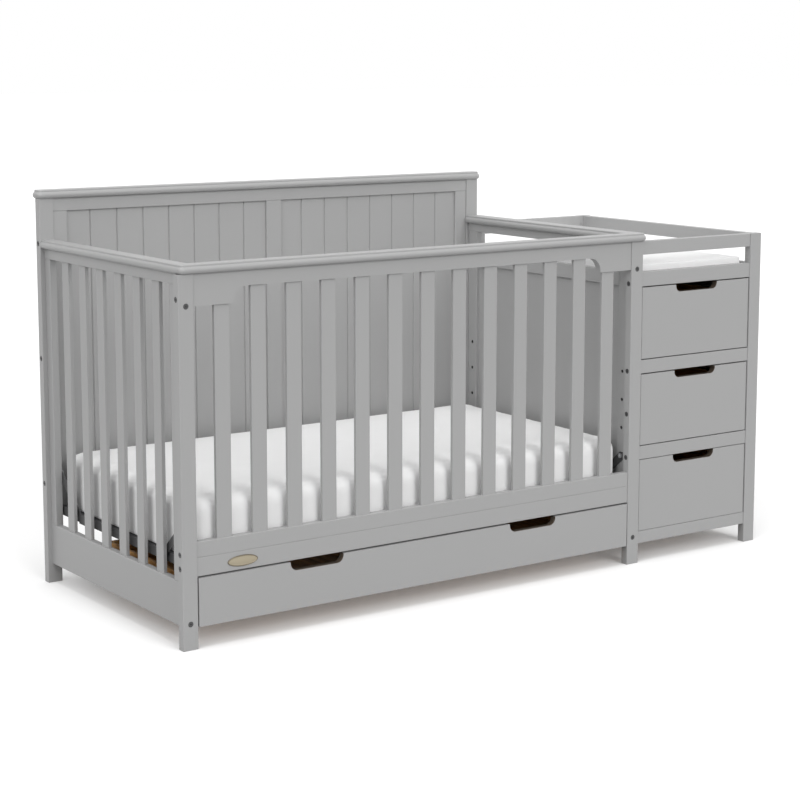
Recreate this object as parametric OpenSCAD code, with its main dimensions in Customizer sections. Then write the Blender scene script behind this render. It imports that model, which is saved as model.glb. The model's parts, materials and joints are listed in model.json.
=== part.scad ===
// Convertible crib with an attached changer. The crib has a slatted front and left end, a
// boarded headboard, a bolted mattress support and a drawer under it. Its right-hand end is
// shared with the changer, which has a guarded top with a pad, and three drawers.
// X runs along the length, Y towards the headboard and Z up. The floor is Z = 0.

/* [Crib frame] */
// Length of the crib between the outer faces of its posts
crib_len = 1410; // [1330:1:1500]
// Depth between the front of the front posts and the back of the head posts
crib_depth = 758; // [720:1:800]
// Width of every post, seen from the front
post_w = 40; // [36:1:46]
// Thickness of every post, front to back
post_t = 23; // [22:0.5:26]
// Height of the front posts, under the cap
side_h = 883; // [860:1:920]
// Height of the head posts, under the headboard cap
head_h = 1011.5; // [990:0.5:1060]
// Thickness of the rails and end panels
rail_t = 20; // [18:0.5:21]
// Distance from the outer faces of the left posts to the outer face of the left end
end_inset = 12.5; // [10:0.5:14]
// Distance from the outer faces of the shared posts to that of the shared end
shared_inset = 10; // [8:0.5:12]
// Radius of the eased edges of posts and rails
ease = 1.5; // [0.8:0.1:2.5]

/* [Caps] */
// Thickness of the moulded caps
cap_t = 22.5; // [20:0.5:26]
// Overhang of the front cap and the headboard cap beyond their posts, front and back
cap_over = 9.5; // [6:0.5:12]
// Overhang of the shared end's cap beyond the posts, towards the changer
shared_cap_over = 8; // [4:0.5:10]
// Overhang of the headboard cap beyond its posts at both ends
head_cap_over = 7; // [4:0.5:10]
// Width of the left end's cap
end_cap_w = 45; // [42:0.5:50]
// Height of the rounded nose along the lower part of a cap
nose_h = 18.5; // [14:0.5:19]
// Distance that the flat top stands back from the nose
cap_step = 4.5; // [4:0.5:7]
// Radius of the cap's outer corners, in plan
cap_corner_r = 14; // [12:0.5:18]
// Radius of the eased edges of the cap's flat top
cap_edge_r = 2.5; // [1:0.5:4]

/* [Front] */
// Height of the front top rail
top_rail_h = 36; // [32:1:46]
// Length of the corner gusset that hangs from each end of the top rail
gusset_len = 107; // [90:1:120]
// Depth of the corner gusset below the top rail
gusset_drop = 39; // [36:1:50]
// Radius of the curve between gusset and rail
gusset_r = 35; // [20:1:36]
// Number of front slats
front_slats_n = 13; // [11:1:15]
// Width of a front slat
front_slat_w = 41; // [30:1:46]
// Thickness of every slat
slat_t = 10; // [8:0.5:12]
// Distance of the front slats behind the front face
front_slat_in = 7; // [4:0.5:8]
// Height of the top edge of the lower rail
low_rail_top = 256; // [250:1:280]
// Height of the lower rail itself
low_rail_h = 38; // [30:0.5:45]
// Height of the apron under the lower rail
apron_h = 45; // [40:0.5:50]

/* [Left end] */
// Height of the left end's top rail
end_rail_h = 26; // [22:1:36]
// Height of the lower edge of the end panels' bottom rail
end_low_z = 49.5; // [40:0.5:60]
// Height of the end panels' bottom rail
end_low_h = 108.5; // [90:0.5:120]
// Width of the left end's front stile
left_stile_w = 41; // [36:1:46]
// Width of the left end's back stile
left_back_stile_w = 29; // [26:1:34]
// Number of slats in the left end
end_slats_n = 6; // [5:1:7]
// Width of a slat in the left end
end_slat_w = 36; // [28:1:44]

/* [Headboard] */
// Height of the headboard's top rail
head_rail_h = 33.5; // [30:0.5:50]
// Height of the headboard's lower edge
head_low_z = 190; // [170:1:205]
// Height of the headboard's bottom rail
head_low_h = 50; // [40:1:60]
// Width of the headboard's outer stiles
head_stile_w = 39; // [34:1:46]
// Width of the headboard's middle stile
head_mid_w = 48; // [40:1:60]
// Depth that the boarded panels lie behind the stiles
board_in = 7; // [5:0.5:8]
// Thickness of the boarded panels
board_t = 9; // [8:0.5:10]
// Number of boards shown in each panel
boards_n = 8; // [6:1:10]
// Distance between the grooves of a boarded panel
groove_pitch = 77.2; // [60:0.1:78]
// Width of a groove at the surface
groove_w = 4; // [3:0.5:5]
// Depth of a groove
groove_d = 3; // [2:0.5:4]

/* [Shared end] */
// Width of the shared end's stiles
shared_stile_w = 38.5; // [36:0.5:44]
// Height of the shared end's top rail
shared_top_h = 24; // [22:1:32]
// Height of the shared end's middle rail, level with the changer top
shared_mid_h = 39.5; // [36:0.5:46]
// Thickness of the shared end's recessed panel
shared_panel_t = 10; // [8:0.5:12]

/* [Mattress support] */
// Height of the top of the support frame
support_z = 205; // [195:1:215]
// Height of the support's angle bars
angle_h = 23; // [18:1:26]
// Width of the support's angle bars
angle_w = 25; // [20:1:30]
// Thickness of the support's steel
steel_t = 2; // [1.5:0.1:2.5]
// Gap between the hangers and the end panels
hang_gap = 0.3; // [0.2:0.1:0.5]
// Gap between the ends of the support and the hangers' outer faces
support_in = 4; // [3:0.5:6]
// Gap between the long sides of the support and the posts' planes
support_side = 8; // [6:0.5:12]
// Number of cross straps on the support
straps_n = 9; // [7:1:11]
// Number of long straps on the support
long_straps_n = 3; // [2:1:4]
// Width of a strap
strap_w = 25; // [18:1:32]
// Height of the hangers above the floor at their upper edge
hanger_top = 306; // [304:1:318]
// Gap between a hanger and the post beside it
hanger_in = 12; // [8:0.5:12.5]
// Width of a hanger at its upper edge
hanger_w = 10; // [6:1:14]
// Height of the upright edge from which a hanger slopes down
hanger_edge = 22; // [20:1:28]
// Length of a hanger's foot under the frame
hanger_foot = 34; // [28:1:50]
// Distance from a hanger's upright edge to the far end of its foot
hanger_reach = 146; // [130:1:170]
// Distance of the height holes from the posts' inner faces
height_hole_in = 19.5; // [17:0.5:20.5]
// Diameter of the height holes
height_hole_d = 9.5; // [8:0.5:10]
// Height of the lowest height hole, where the support is bolted
height_hole_z = 295.5; // [290:0.5:299]
// Distance between the height holes
height_step = 77.5; // [60:0.5:85]
// Number of heights for the support
heights_n = 4; // [3:1:4]
// Depth of the height holes in the end stiles
height_hole_depth = 12; // [10:0.5:15]
// Height of the heads of the low bolts through the hangers
low_head_h = 2.6; // [2:0.1:3]

/* [Mattress and pad] */
// Gap between the mattress and each end panel
mattress_end_gap = 6.75; // [5:0.25:20]
// Gap between the mattress and the front, and between it and the headboard
mattress_side_gap = 5; // [4:0.5:15]
// Thickness of the mattress at its edge
mattress_h = 136; // [100:1:140]
// Rise of the mattress's middle above its edge
mattress_crown = 6; // [2:0.5:8]
// Corner radius of the mattress, in plan
mattress_corner_r = 60; // [40:1:80]
// Radius of the mattress's upper and lower edges
mattress_edge_r = 26; // [15:1:40]
// Distance that the mattress's sides draw in at their middles
mattress_pull = 4; // [0:0.5:10]
// Gap between the changing pad and the overhang of the shared end's cap, seen from above
pad_left_gap = 1.5; // [1:0.5:20]
// Gap between the changing pad and the side guard
pad_right_gap = 23.5; // [10:0.5:40]
// Gap between the changing pad and the front, and between it and the back
pad_end_gap = 3; // [2:0.5:20]
// Thickness of the changing pad at its edge
pad_h = 30; // [25:1:36]
// Rise of the pad's middle above its edge
pad_crown = 3; // [1:0.5:10]
// Corner radius of the pad, in plan
pad_corner_r = 12; // [10:1:40]
// Radius of the pad's upper and lower edges
pad_edge_r = 6; // [4:0.5:10]
// Distance that the pad's sides draw in at their middles
pad_pull = 3; // [0:0.5:6]

/* [Changer] */
// Overall length of the crib and the changer together
total_len = 1852; // [1800:1:1900]
// Distance of the side panel behind the outer face of the changer's posts
side_inset = 8; // [6:0.5:10]
// Width of the post that joins the changer's back to the head post
inner_post_w = 31; // [26:1:36]
// Height of the guard rails
guard_h = 36.5; // [32:0.5:44]
// Height of the rail under the pad at its upper edge
pad_rail_top = 800; // [796:1:808]
// Height of the rail under the pad
pad_rail_h = 39.5; // [36:0.5:46]
// Height of the changer's lower edge above the floor
changer_low_z = 52.5; // [45:0.5:60]
// Height of the rails between the drawers
divider_h = 37; // [30:1:44]
// Thickness of the board under the pad
top_board_t = 15; // [12:1:18]
// Depth of the top board's surface below the rail in front of it
top_board_in = 14; // [10:1:18]
// Thickness of the side and back panels
side_panel_t = 20; // [16:1:22]
// Thickness of the back panel
back_panel_t = 5; // [3:0.5:8]

/* [Changer drawers] */
// Height of the opening for one drawer
opening_h = 200; // [180:1:206]
// Gap at each side of a drawer front
side_gap = 2.8; // [1.5:0.1:3.5]
// Gap above and below the fronts of the top and middle drawers
drawer_gap = 2.9; // [1.5:0.1:3.5]
// Gap above and below the front of the lower drawer
lower_drawer_gap = 1.3; // [1:0.1:3.5]
// Thickness of every drawer front
front_t = 18; // [15:0.5:20]
// Depth of the changer drawers' boxes behind their fronts
box_depth = 560; // [450:5:620]
// Height of the changer drawers' boxes
box_h = 140; // [110:1:160]
// Height of a box's lower edge above the rail below it
box_up = 19; // [14:1:28]
// Thickness of the drawers' sides and backs
box_t = 12; // [10:0.5:15]
// Thickness of the drawers' bottoms
bottom_t = 4; // [3:0.5:6]
// Height of a drawer's bottom above the lower edge of its sides
bottom_up = 8; // [6:0.5:12]
// Width of the finger cut-outs
grip_w = 152; // [120:1:170]
// Depth of the changer drawers' finger cut-outs below the rail above them
grip_d = 22.5; // [19:0.5:28]
// Radius of the lower corners of those cut-outs
grip_r = 16; // [10:0.5:17]

/* [Drawer under the crib] */
// Height of the lower edge of the drawer's front
under_z = 52.5; // [45:0.5:60]
// Gap between the drawer's front and the apron
under_gap = 3.6; // [1.5:0.1:4]
// Depth of the drawer's box behind its front
under_depth = 492; // [440:1:560]
// Height of the drawer's box
under_box_h = 90; // [70:1:96]
// Height of the box's lower edge above the lower edge of the front
under_box_up = 8; // [5:0.5:14]
// Distance of the finger cut-outs from the middle of the front
under_grip_x = 334.5; // [250:0.5:400]
// Depth of the finger cut-outs below the front's upper edge
under_grip_d = 21.5; // [19:0.5:30]
// Radius of the lower corners of those cut-outs
under_grip_r = 18.5; // [10:0.5:18.5]
// Thickness of the cleats that carry the runners
cleat_t = 14; // [12:0.5:16]
// Height of the cleats
cleat_h = 60; // [45:1:64]

/* [Runners] */
// Width of a runner pair between the wall and the drawer
runner_w = 13.5; // [12.7:0.1:14]
// Height of the fixed channel of a runner
runner_h = 35; // [30:1:42]
// Length of the changer drawers' runners
runner_len = 500; // [400:5:540]
// Length of the runners of the drawer under the crib
under_runner_len = 450; // [400:5:480]
// Thickness of a runner's sheet steel
sheet_t = 1.2; // [1:0.1:1.5]
// Height of the lips along the open side of the fixed channel
lip_h = 3.8; // [3:0.1:5]
// Distance of those lips from the drawer
lip_gap = 2.5; // [2:0.1:4]
// Play between the sliding member and the lips
slide_play = 0.3; // [0.2:0.05:0.5]
// Gap between the channel's web and the sliding member
member_gap = 3; // [2:0.1:5]
// Distance of the runners behind the front posts' inner faces
runner_in = 2; // [0:0.5:10]

/* [Bolts] */
// Diameter of a bolt's head
bolt_head_d = 13.6; // [10:0.1:14]
// Height of a bolt's head
bolt_head_h = 4; // [3:0.5:5]
// Diameter of a bolt's shank
bolt_d = 6; // [5:0.5:7]
// Depth of a bolt's head below the surface
bolt_sink = 0.8; // [0.5:0.1:2]
// Length of the shank of the bolts that hold the end panels
end_bolt_len = 44; // [38:1:46]
// Length of the shank of the bolts that hold the rails
rail_bolt_len = 72; // [66:1:80]
// Diameter of a barrel nut
nut_d = 10; // [9:0.5:11]
// Length of a barrel nut
nut_len = 12; // [10:0.5:13]
// Distance that a barrel nut goes beyond the axis of its bolt
nut_back = 5.5; // [5:0.5:6]
// Distance from a bolt's tip to the axis of its barrel nut
nut_from_tip = 12; // [9:0.5:15]
// Play around bolts in their holes
bolt_play = 0.3; // [0.2:0.05:0.5]
// Play around barrel nuts, and around bolts in them
nut_play = 0.1; // [0.05:0.05:0.2]
// Length of the shank of the short bolt between the changer's dividers
short_bolt_len = 24; // [18:1:30]
// Depth of the hexagon socket in a bolt's head
socket_depth = 2.5; // [1.5:0.1:3]

/* [Bolt places] */
// Distance of the end panels' bolts from the outer faces of the posts
end_bolt_in = 20; // [19:0.5:21]
// Height of their upper bolts above the gussets' lower edge
end_bolt_up = 1.5; // [-6:0.5:6]
// Height of the left end's lower bolts above the lower edge of its bottom rail
left_bolt_up = 13; // [12:0.5:40]
// Height of the shared end's lower bolts above the lower edge of its bottom rail
shared_bolt_up = 24; // [20:0.5:40]
// Distance of the front rails' bolts behind the front face
rail_bolt_y = 12; // [11:0.5:13]
// Height of the top rail's bolts above the gussets' lower edge
gusset_bolt_up = 17; // [17:0.5:30]
// Height of the lower rail's bolts above that rail's lower edge
low_bolt_up = 10.5; // [8:0.5:24]
// Height of the apron's bolts above the apron's lower edge
apron_bolt_up = 22; // [14:0.5:26]
// Distance of the headboard's upper bolts below its top rail
head_bolt_down = 82.4; // [60:0.2:120]
// Distance of the headboard's middle bolts below the middle of its height
head_bolt_mid = 5; // [0:0.5:20]
// Height of the headboard's lower bolts above its lower edge
head_bolt_up = 75; // [70:1:110]
// Height of the changer's bolts above the lower edges of its front rails
changer_bolt_up = 9.5; // [9:0.5:20]
// Distance of the changer's short bolt above the middle between its neighbours
short_bolt_up = 1; // [-10:1:10]

/* [Hidden] */

// Finishes
paint = "#b7b8b9";
cap_paint = "#c4c5c6";
black = "#202022";
steel = "#a9abad";
amber = "#a9763f";
white_cover = "#f2f2f0";
// Small overlap that makes a cut run clear of a surface
over = 1;
// Segments of the small round edges
$fn = 32;

// Planes of the crib. The rails are flush with the posts' inner faces, so their outer faces
// lie a little behind those of the posts.
rail_in = post_t - rail_t;
head_y = crib_depth - post_t;
left_in = end_inset + rail_t;
shared_out = crib_len - shared_inset;
shared_x = shared_out - rail_t;
inner_left = post_w;
inner_right = crib_len - post_w;
front_top_z = side_h - top_rail_h;
gusset_z = front_top_z - gusset_drop;
low_rail_z = low_rail_top - low_rail_h;
apron_z = low_rail_z - apron_h;
end_low_top = end_low_z + end_low_h;
head_top_z = head_h - head_rail_h;
head_low_top = head_low_z + head_low_h;
shared_mid_z = pad_rail_top - shared_mid_h;
// Planes of the changer
changer_left = crib_len;
changer_right = total_len - post_w;
side_x = total_len - side_inset - side_panel_t;
guard_z = side_h - guard_h;
pad_rail_z = pad_rail_top - pad_rail_h;
top_board_z = pad_rail_top - top_board_in - top_board_t;
drawer_pitch = opening_h + divider_h;
top_opening_z = pad_rail_z - opening_h;
low_opening_z = top_opening_z - 2 * drawer_pitch;
// The model stands with the middle of its base at the origin; the headboard's cap goes
// farthest to the left
middle_x = (total_len - head_cap_over) / 2;
middle_y = crib_depth / 2;

// Shapes ------------------------------------------------------------------------------

// A rectangle with eased corners, its lower left corner at the origin
module eased_rect(w, h, r) {
  translate([r, 0]) square([w - 2 * r, h]);
  translate([0, r]) square([w, h - 2 * r]);
  for (x = [r, w - r], y = [r, h - r]) translate([x, y]) circle(r);
}

// Bars between two corners, with their long edges eased
module bar_x(low, high, r = ease) {
  translate(low) rotate([90, 0, 90])
    linear_extrude(high[0] - low[0]) eased_rect(high[1] - low[1], high[2] - low[2], r);
}

module bar_y(low, high, r = ease) {
  translate([low[0], high[1], low[2]]) rotate([90, 0, 0])
    linear_extrude(high[1] - low[1]) eased_rect(high[0] - low[0], high[2] - low[2], r);
}

module bar_z(low, high, r = ease) {
  translate(low)
    linear_extrude(high[2] - low[2]) eased_rect(high[0] - low[0], high[1] - low[1], r);
}

// A plain board between two corners
module board(low, high) {
  translate(low) cube(high - low);
}

// Everything is drawn from the crib's front left corner and moved to the model's origin
module placed() {
  translate([-middle_x, -middle_y, 0]) children();
}

// Bolts and barrel nuts ---------------------------------------------------------------

end_bolt_high = gusset_z + end_bolt_up;
left_bolt_low = end_low_z + left_bolt_up;
shared_bolt_low = end_low_z + shared_bolt_up;
head_bolt_y = head_y + post_t / 2;
// Heights of the bolts through the front posts' sides, into the top rail's gussets, the
// lower rail and the apron
rail_bolt_z = [gusset_z + gusset_bolt_up, low_rail_z + low_bolt_up, apron_z + apron_bolt_up];
// Heights of the bolts through the head posts' sides into the headboard
head_bolt_z = [head_top_z - head_bolt_down, (head_low_z + head_h) / 2 - head_bolt_mid,
  head_low_z + head_bolt_up];
// Heights of the bolts from inside the crib into the changer's pad rail and dividers
changer_bolt_z = [pad_rail_z + changer_bolt_up,
  for (i = [0, 1]) top_opening_z - i * drawer_pitch - divider_h + changer_bolt_up];
// Height of the short bolt between them
short_bolt_z = (changer_bolt_z[1] + changer_bolt_z[2]) / 2 + short_bolt_up;

function end_bolts(x, low_z) = [for (z = [end_bolt_high, low_z]) [x, z]];

// Stands a bolt's own axis, +Z into the wood, at a place on a surface
module facing(place, way) {
  turn = way == "back" ? [-90, 0, 0] : way == "front" ? [90, 0, 0]
    : way == "right" ? [0, 90, 0] : [0, -90, 0];
  translate(place) rotate(turn) children();
}

module bolt(shank) {
  difference() {
    union() {
      translate([0, 0, bolt_sink]) cylinder(d = bolt_head_d, h = bolt_head_h);
      translate([0, 0, bolt_sink]) cylinder(d = bolt_d, h = bolt_head_h + shank);
    }
    translate([0, 0, bolt_sink - over]) socket();
  }
}

// A hexagon socket, from the distance over above a head
module socket() {
  cylinder(d = bolt_d * 0.9, h = over + socket_depth, $fn = 6);
}

module bolt_hole(shank) {
  seat = bolt_sink + bolt_head_h;
  translate([0, 0, -over]) cylinder(d = bolt_head_d + 2 * bolt_play, h = over + seat);
  translate([0, 0, -over]) cylinder(d = bolt_d + 2 * bolt_play, h = over + seat + shank + over);
}

// A barrel nut crosses its bolt near the tip; its own axis is +Z, out of the wood
module nut() {
  difference() {
    translate([0, 0, -nut_back]) cylinder(d = nut_d, h = nut_len);
    rotate([90, 0, 0])
      translate([0, 0, -nut_d]) cylinder(d = bolt_d + 2 * nut_play, h = 2 * nut_d);
  }
}

module nut_hole() {
  translate([0, 0, -nut_back - nut_play])
    cylinder(d = nut_d + 2 * nut_play, h = nut_len + 2 * rail_t);
}

function bolt_reach(shank) = bolt_sink + bolt_head_h + shank - nut_from_tip;

// Bolts along Y that hold an end panel: places are [x, z] on the front and the back face
module end_panel_bolts(x, low_z) {
  for (p = end_bolts(x, low_z)) {
    facing([p[0], 0, p[1]], "back") bolt(end_bolt_len);
    facing([p[0], crib_depth, p[1]], "front") bolt(end_bolt_len);
  }
}

module end_panel_holes(x, low_z) {
  for (p = end_bolts(x, low_z)) {
    facing([p[0], 0, p[1]], "back") bolt_hole(end_bolt_len);
    facing([p[0], crib_depth, p[1]], "front") bolt_hole(end_bolt_len);
  }
}

// Their nuts lie along X; way is +1 where they go in from the right-hand face
module end_panel_nuts(x, low_z, way, hole = false) {
  for (p = end_bolts(x, low_z), y = [bolt_reach(end_bolt_len),
      crib_depth - bolt_reach(end_bolt_len)])
    translate([p[0], y, p[1]]) rotate([0, way * 90, 0])
      if (hole) nut_hole(); else nut();
}

// Bolts along X through a post, and their nuts in the rail or stile beyond it
module post_bolts(x, y, heights, way, shank = rail_bolt_len) {
  for (z = heights) facing([x, y, z], way) bolt(shank);
}

module post_holes(x, y, heights, way, shank = rail_bolt_len) {
  for (z = heights) facing([x, y, z], way) bolt_hole(shank);
}

module post_nuts(x, y, heights, way, hole = false) {
  side = way == "right" ? 1 : -1;
  for (z = heights)
    translate([x + side * bolt_reach(rail_bolt_len), y, z]) rotate([-90, 0, 0]) rotate([0, 0, 90])
      if (hole) nut_hole(); else nut();
}

module frame_bolts() {
  color(black) placed() {
    end_panel_bolts(end_bolt_in, left_bolt_low);
    end_panel_bolts(crib_len - end_bolt_in, shared_bolt_low);
    post_bolts(0, rail_bolt_y, rail_bolt_z, "right");
    post_bolts(crib_len, rail_bolt_y, rail_bolt_z, "left");
    post_bolts(0, head_bolt_y, head_bolt_z, "right");
    post_bolts(crib_len, head_bolt_y, head_bolt_z, "left");
    post_bolts(inner_right, rail_bolt_y, changer_bolt_z, "right");
    post_bolts(inner_right, rail_bolt_y, [short_bolt_z], "right", short_bolt_len);
  }
}

module barrel_nuts() {
  color(steel) placed() {
    end_panel_nuts(end_bolt_in, left_bolt_low, 1);
    end_panel_nuts(crib_len - end_bolt_in, shared_bolt_low, -1);
    post_nuts(0, rail_bolt_y, rail_bolt_z, "right");
    post_nuts(crib_len, rail_bolt_y, rail_bolt_z, "left");
    post_nuts(0, head_bolt_y, head_bolt_z, "right");
    post_nuts(crib_len, head_bolt_y, head_bolt_z, "left");
    post_nuts(inner_right, rail_bolt_y, changer_bolt_z, "right");
  }
}

// Crib posts --------------------------------------------------------------------------

module left_front_post() {
  color(paint) placed() difference() {
    bar_z([0, 0, 0], [post_w, post_t, side_h]);
    end_panel_holes(end_bolt_in, left_bolt_low);
    post_holes(0, rail_bolt_y, rail_bolt_z, "right");
  }
}

module shared_front_post() {
  color(paint) placed() difference() {
    bar_z([inner_right, 0, 0], [crib_len, post_t, side_h]);
    end_panel_holes(crib_len - end_bolt_in, shared_bolt_low);
    post_holes(crib_len, rail_bolt_y, rail_bolt_z, "left");
    post_holes(inner_right, rail_bolt_y, changer_bolt_z, "right");
    post_holes(inner_right, rail_bolt_y, [short_bolt_z], "right", short_bolt_len);
  }
}

module left_head_post() {
  color(paint) placed() difference() {
    bar_z([0, head_y, 0], [post_w, crib_depth, head_h]);
    end_panel_holes(end_bolt_in, left_bolt_low);
    post_holes(0, head_bolt_y, head_bolt_z, "right");
  }
}

module right_head_post() {
  color(paint) placed() difference() {
    bar_z([inner_right, head_y, 0], [crib_len, crib_depth, head_h]);
    end_panel_holes(crib_len - end_bolt_in, shared_bolt_low);
    post_holes(crib_len, head_bolt_y, head_bolt_z, "left");
  }
}

// Moulded caps ------------------------------------------------------------------------

nose_r = nose_h / 2;
// Width of the front and headboard caps
cap_w = post_t + 2 * cap_over;
front_cap_y = -cap_over;
front_cap_in = front_cap_y + cap_w;
// The shared end's cap is as wide as the left end's, and wider by its overhang
shared_cap_w = end_cap_w + shared_cap_over;
cap_right = crib_len + shared_cap_over;

// Section of a cap: a rounded nose on both edges, and a flat top that stands back from it
module cap_section(w) {
  translate([nose_r, 0]) square([w - 2 * nose_r, nose_h]);
  for (x = [nose_r, w - nose_r]) translate([x, nose_r]) circle(nose_r);
  translate([cap_step, nose_r])
    eased_rect(w - 2 * cap_step, cap_t - nose_r, cap_edge_r);
}

// Half of that section, turned about a corner
module cap_corner_section() {
  flat = cap_corner_r - cap_step;
  square([cap_corner_r - nose_r, nose_h]);
  translate([cap_corner_r - nose_r, nose_r]) circle(nose_r);
  translate([0, nose_r]) {
    square([flat - cap_edge_r, cap_t - nose_r]);
    square([flat, cap_t - nose_r - cap_edge_r]);
  }
  translate([flat - cap_edge_r, cap_t - cap_edge_r]) circle(cap_edge_r);
}

// A quarter turn of the cap about an outer corner; turn 0 is the front left corner
module cap_corner(x, y, turn) {
  translate([x, y, 0]) rotate([0, 0, 180 + turn])
    rotate_extrude(angle = 90) intersection() {
      cap_corner_section();
      square([cap_corner_r, cap_t]);
    }
}

module cap_along_x(from, to, y, w) {
  translate([from, y, 0]) rotate([90, 0, 90]) linear_extrude(to - from) cap_section(w);
}

module cap_along_y(from, to, x, w) {
  translate([x, to, 0]) rotate([90, 0, 0]) linear_extrude(to - from) cap_section(w);
}

// The front cap's straight length with both of its outer corners
module front_cap_run() {
  r = cap_corner_r;
  cap_along_x(r, cap_right - r, front_cap_y, cap_w);
  cap_corner(r, front_cap_y + r, 0);
  cap_corner(cap_right - r, front_cap_y + r, 90);
}

// The caps of the front and of both ends in one run, before their mitres are cut
module cap_run() {
  front_cap_run();
  cap_along_y(front_cap_y + cap_corner_r, head_y, 0, end_cap_w);
  cap_along_y(front_cap_y + cap_corner_r, head_y, cap_right - shared_cap_w, shared_cap_w);
}

// The front cap's side of the two mitres
module front_of_mitres() {
  translate([0, 0, -over]) linear_extrude(cap_t + 2 * over)
    polygon([[0, front_cap_y], [cap_right, front_cap_y],
      [cap_right - shared_cap_w, front_cap_in], [end_cap_w, front_cap_in]]);
}

module front_cap() {
  color(cap_paint) placed() translate([0, 0, side_h]) intersection() {
    front_cap_run();
    front_of_mitres();
  }
}

module left_end_cap() {
  color(cap_paint) placed() translate([0, 0, side_h]) difference() {
    intersection() {
      cap_run();
      board([-over, front_cap_y - over, -over], [crib_len / 2, crib_depth, cap_t + over]);
    }
    front_of_mitres();
  }
}

module shared_end_cap() {
  color(cap_paint) placed() translate([0, 0, side_h]) difference() {
    intersection() {
      cap_run();
      board([crib_len / 2, front_cap_y - over, -over],
        [cap_right + over, crib_depth, cap_t + over]);
    }
    front_of_mitres();
  }
}

// The headboard's cap turns the corner at both ends, front and back
module headboard_cap() {
  r = cap_corner_r;
  left = -head_cap_over;
  right = crib_len + head_cap_over;
  low = head_y - cap_over;
  high = low + cap_w;
  color(cap_paint) placed() translate([0, 0, head_h]) {
    cap_along_x(left + r, right - r, low, cap_w);
    cap_corner(left + r, low + r, 0);
    cap_corner(left + r, high - r, -90);
    cap_corner(right - r, low + r, 90);
    cap_corner(right - r, high - r, 180);
    intersection() {
      union() {
        cap_along_y(low + r, high - r, left, 2 * r);
        cap_along_y(low + r, high - r, right - 2 * r, 2 * r);
      }
      for (x = [left, right - r]) board([x, low, 0], [x + r, high, cap_t]);
    }
  }
}

// Front -------------------------------------------------------------------------------

// The top rail and its two gussets are cut from one board, with an arch between them
module front_top_rail() {
  arch_from = inner_left + gusset_len;
  arch_to = inner_right - gusset_len;
  color(paint) placed() difference() {
    translate([0, post_t, 0]) rotate([90, 0, 0]) linear_extrude(rail_t) difference() {
      translate([inner_left, gusset_z]) square([inner_right - inner_left, side_h - gusset_z]);
      translate([arch_from, gusset_z - gusset_r])
        eased_rect(arch_to - arch_from, gusset_drop + gusset_r, gusset_r);
    }
    post_holes(0, rail_bolt_y, [rail_bolt_z[0]], "right");
    post_holes(crib_len, rail_bolt_y, [rail_bolt_z[0]], "left");
    post_nuts(0, rail_bolt_y, [rail_bolt_z[0]], "right", true);
    post_nuts(crib_len, rail_bolt_y, [rail_bolt_z[0]], "left", true);
  }
}

// Equal gaps between the posts and the slats
front_gap = (inner_right - inner_left - front_slats_n * front_slat_w) / (front_slats_n + 1);
function front_slat_x(i) = inner_left + front_gap + i * (front_slat_w + front_gap);
function under_gusset(i) = front_slat_x(i) + front_slat_w <= inner_left + gusset_len
  || front_slat_x(i) >= inner_right - gusset_len;

module front_slats() {
  color(paint) placed() for (i = [0 : front_slats_n - 1])
    bar_z([front_slat_x(i), front_slat_in, low_rail_top],
      [front_slat_x(i) + front_slat_w, front_slat_in + slat_t,
        under_gusset(i) ? gusset_z : front_top_z]);
}

module front_lower_rail() {
  color(paint) placed() difference() {
    bar_x([inner_left, rail_in, low_rail_z], [inner_right, post_t, low_rail_top]);
    post_holes(0, rail_bolt_y, [rail_bolt_z[1]], "right");
    post_holes(crib_len, rail_bolt_y, [rail_bolt_z[1]], "left");
    post_nuts(0, rail_bolt_y, [rail_bolt_z[1]], "right", true);
    post_nuts(crib_len, rail_bolt_y, [rail_bolt_z[1]], "left", true);
  }
}

module front_apron() {
  color(paint) placed() difference() {
    bar_x([inner_left, rail_in, apron_z], [inner_right, post_t, low_rail_z]);
    post_holes(0, rail_bolt_y, [rail_bolt_z[2]], "right");
    post_holes(crib_len, rail_bolt_y, [rail_bolt_z[2]], "left");
    post_nuts(0, rail_bolt_y, [rail_bolt_z[2]], "right", true);
    post_nuts(crib_len, rail_bolt_y, [rail_bolt_z[2]], "left", true);
  }
}

// Left end ----------------------------------------------------------------------------

left_front_edge = post_t + left_stile_w;
left_back_edge = head_y - left_back_stile_w;
end_top_z = side_h - end_rail_h;
end_gap = (left_back_edge - left_front_edge - end_slats_n * end_slat_w) / (end_slats_n + 1);

module left_end_top_rail() {
  color(paint) placed()
    bar_y([end_inset, post_t, end_top_z], [left_in, head_y, side_h]);
}

module left_end_slats() {
  low_x = end_inset + (rail_t - slat_t) / 2;
  color(paint) placed() for (i = [0 : end_slats_n - 1]) {
    y = left_front_edge + end_gap + i * (end_slat_w + end_gap);
    bar_z([low_x, y, end_low_top], [low_x + slat_t, y + end_slat_w, end_top_z]);
  }
}

module left_end_bottom_rail() {
  color(paint) placed() difference() {
    bar_y([end_inset, post_t, end_low_z], [left_in, head_y, end_low_top], 2 * ease);
    end_panel_holes(end_bolt_in, left_bolt_low);
    end_panel_nuts(end_bolt_in, left_bolt_low, 1, true);
  }
}

// Blind holes in a stile's inner face, one for each height of the mattress support; the
// face is at x and way is +1 where the hole goes towards +X
module height_holes(x, y, way) {
  for (i = [0 : heights_n - 1])
    translate([x - way * over, y, height_hole_z + i * height_step]) rotate([0, way * 90, 0])
      cylinder(d = height_hole_d, h = height_hole_depth + over);
}

front_hole_y = post_t + height_hole_in;
back_hole_y = head_y - height_hole_in;

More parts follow.
